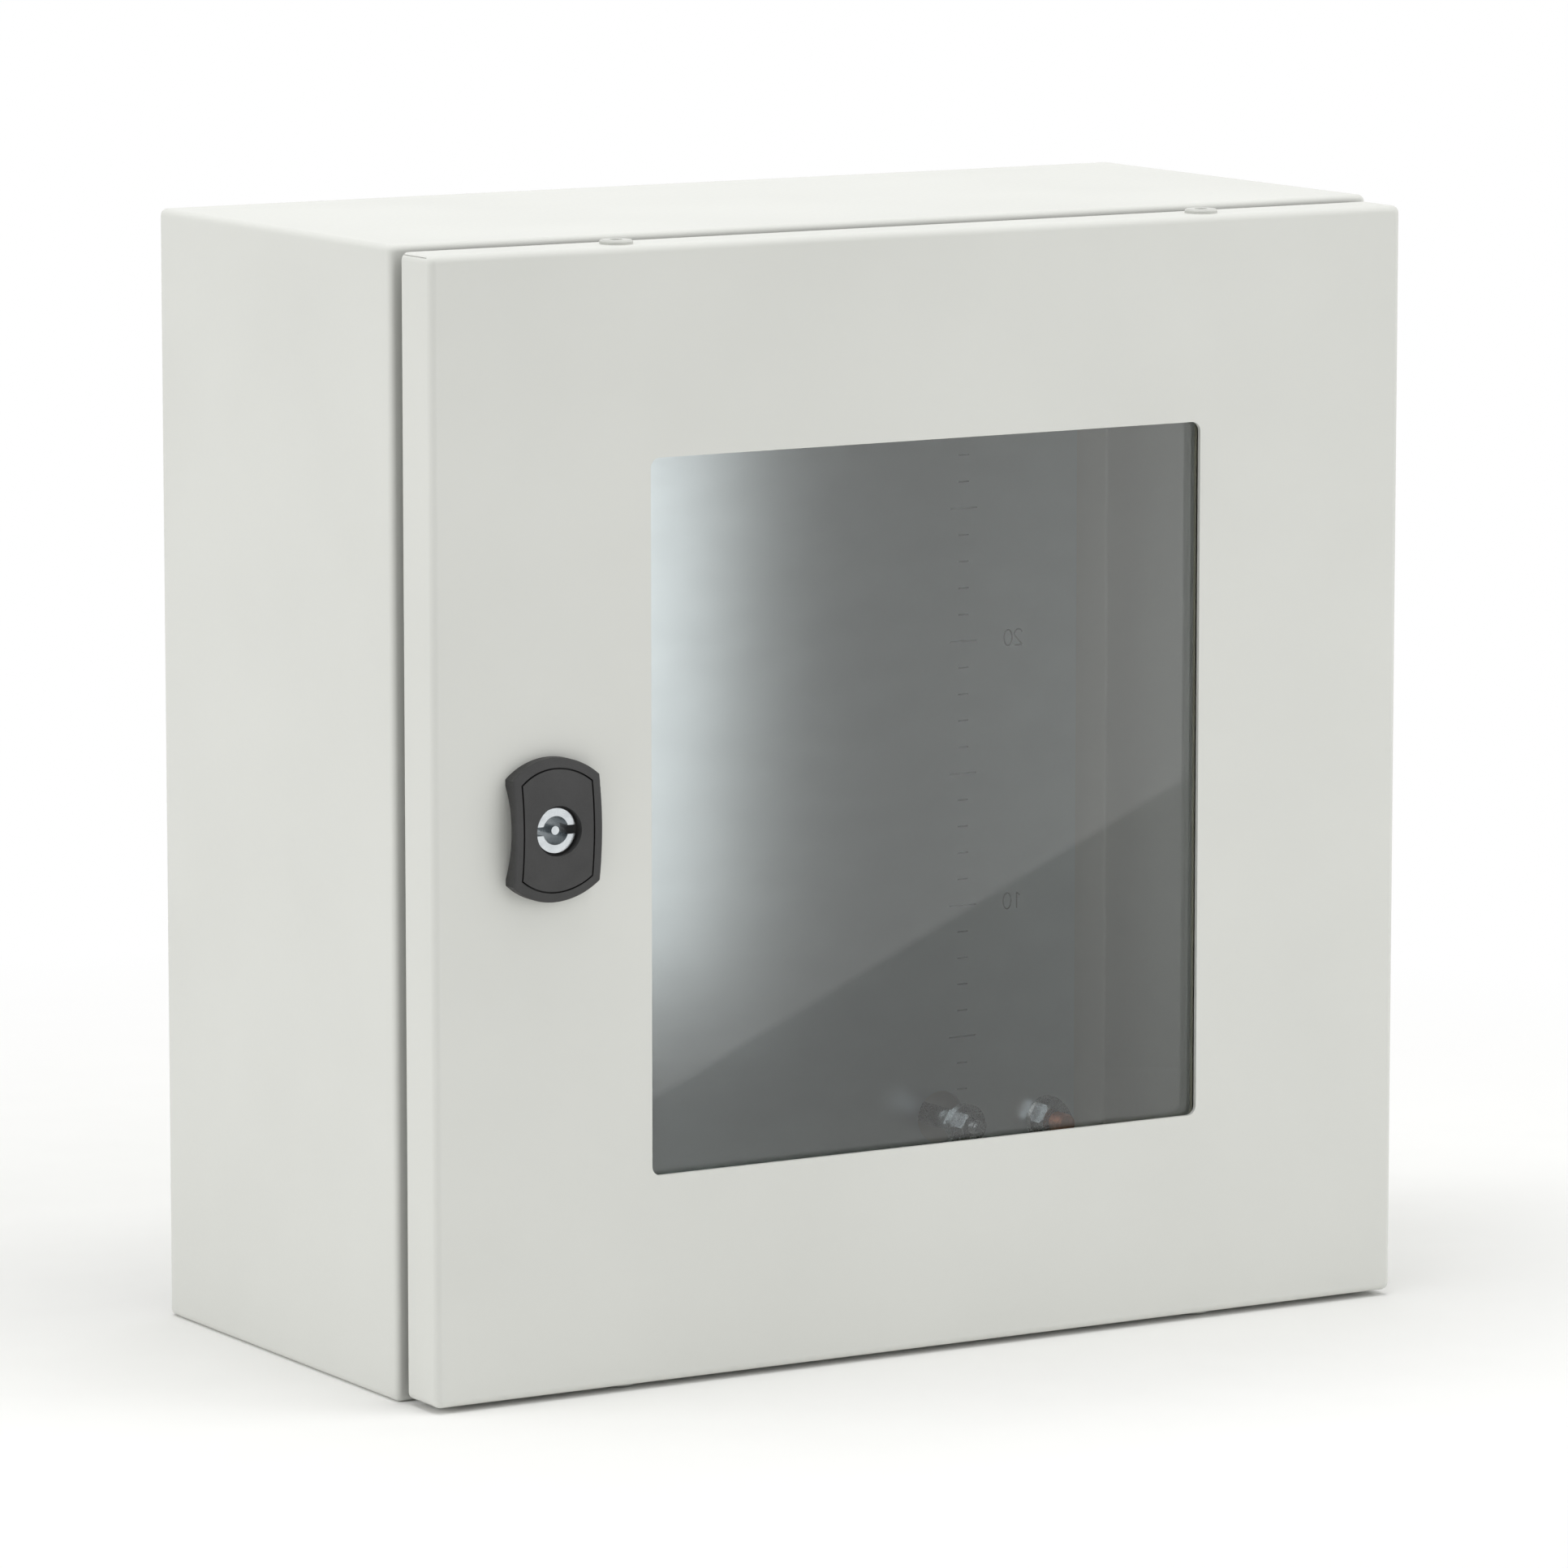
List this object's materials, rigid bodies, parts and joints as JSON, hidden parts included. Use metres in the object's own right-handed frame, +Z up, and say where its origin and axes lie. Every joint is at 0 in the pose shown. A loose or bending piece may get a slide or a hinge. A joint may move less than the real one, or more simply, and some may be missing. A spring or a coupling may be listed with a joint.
{
  "type": "wall-mounted electrical cabinet",
  "caption": "Square folded-steel wall cabinet with a glazed hinged door, a quarter-turn cam lock and a galvanised mounting plate inside for electrical equipment.",
  "frame": {"origin": "middle of the back face, on the wall plane", "axes": "+X to the right seen from the room, +Y into the wall, +Z up"},
  "size_m": [0.4, 0.2044, 0.4],
  "materials": {
    "powder_coat": "fine-textured light grey powder coat",
    "galvanised": "galvanised sheet, brushed along X",
    "zinc_steel": "bright zinc-plated steel",
    "coppered_steel": "copper-plated weld studs",
    "clear_pane": "clear safety glass",
    "foam_seal": "dark foamed polyurethane",
    "rubber_seal": "dark rubber strip",
    "grey_plug": "moulded light grey plastic",
    "dark_polyamide": "moulded dark grey polyamide",
    "diecast_zinc": "bright die-cast zinc"
  },
  "bodies": {
    "cabinet_body": {"body_shell": "powder_coat", "gland_plate": "powder_coat", "gland_plate_gasket": "foam_seal", "gland_plate_studs": "zinc_steel", "gland_plate_nuts": "zinc_steel", "mounting_plate": "galvanised", "plate_studs": "coppered_steel", "plate_nuts": "zinc_steel", "earth_stud": "zinc_steel", "earth_washers": "zinc_steel", "earth_nuts": "zinc_steel", "hinge_body_leaf_upper": "zinc_steel", "hinge_body_leaf_lower": "zinc_steel"},
    "door": {"door_panel": "powder_coat", "door_plugs": "grey_plug", "window_pane": "clear_pane", "glazing_seal": "rubber_seal", "glazing_frame": "powder_coat", "glazing_studs": "coppered_steel", "glazing_nuts": "zinc_steel", "door_gasket": "foam_seal", "door_earth_stud": "coppered_steel", "door_earth_washer": "zinc_steel", "door_earth_nut": "zinc_steel", "hinge_door_leaf_upper": "zinc_steel", "hinge_door_leaf_lower": "zinc_steel", "hinge_door_studs": "coppered_steel", "hinge_door_nuts": "zinc_steel", "hinge_pin_upper": "zinc_steel", "hinge_pin_lower": "zinc_steel", "lock_housing": "dark_polyamide", "lock_faceplate": "dark_polyamide", "lock_seal": "rubber_seal", "lock_nut": "dark_polyamide"},
    "lock_rotor": {"lock_insert": "diecast_zinc", "lock_cam": "zinc_steel", "cam_washer": "zinc_steel", "cam_screw": "zinc_steel"}
  },
  "joints": [
    {"name": "door_hinge", "type": "hinge", "parent": "cabinet_body", "child": "door", "pos_m": [0.19255, -0.184, 0], "axis": [0, 0, 1], "range_deg": [0, 120]},
    {"name": "lock_turn", "type": "hinge", "parent": "door", "child": "lock_rotor", "pos_m": [-0.153, -0.17, 0], "axis": [0, 1, 0], "range_deg": [0, 90]}
  ]
}
